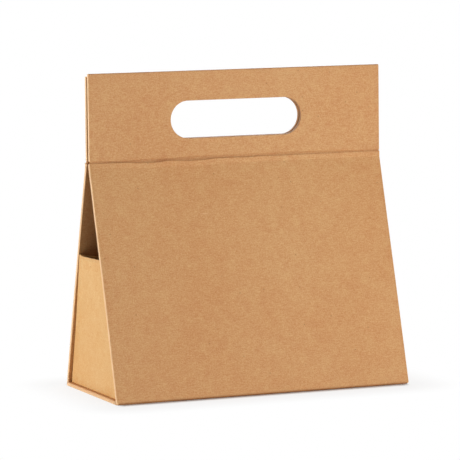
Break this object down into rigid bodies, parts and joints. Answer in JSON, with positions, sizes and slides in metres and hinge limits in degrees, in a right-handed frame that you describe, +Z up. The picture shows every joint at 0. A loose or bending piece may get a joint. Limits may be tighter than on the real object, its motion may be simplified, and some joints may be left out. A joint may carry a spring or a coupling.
{
  "type": "cardboard tray box",
  "caption": "Kraft board carry box: a folded cover with leaning panels and upright handle flaps with a hand hole, round an open tray with leaning walls.",
  "frame": {"origin": "centre of the underside, on the surface that the box stands on", "axes": "+Z up through the handle, +X along the folds, +Y from the front panel to the back panel"},
  "size_m": [0.22, 0.1024, 0.2232],
  "materials": {
    "cover_kraft": "matt kraft paper, brown",
    "tray_kraft": "matt kraft paper, lighter tan"
  },
  "bodies": {
    "root": {"base_panel": "cover_kraft", "inner_tray": "tray_kraft"},
    "front_cover": {"front_panel": "cover_kraft"},
    "back_cover": {"back_panel": "cover_kraft"},
    "front_handle": {"front_handle_flap": "cover_kraft"},
    "back_handle": {"back_handle_flap": "cover_kraft"}
  },
  "joints": [
    {"name": "front_cover_fold", "type": "hinge", "parent": "root", "child": "front_cover", "pos_m": [0, -0.0499, 0.0013], "axis": [1, 0, 0], "range_deg": [0, 90]},
    {"name": "back_cover_fold", "type": "hinge", "parent": "root", "child": "back_cover", "pos_m": [0, 0.0499, 0.0013], "axis": [-1, 0, 0], "range_deg": [0, 90]},
    {"name": "front_handle_fold", "type": "hinge", "parent": "front_cover", "child": "front_handle", "pos_m": [0, -0.0023, 0.162], "axis": [1, 0, 0], "range_deg": [0, 45]},
    {"name": "back_handle_fold", "type": "hinge", "parent": "back_cover", "child": "back_handle", "pos_m": [0, 0.0023, 0.162], "axis": [-1, 0, 0], "range_deg": [0, 45]}
  ]
}
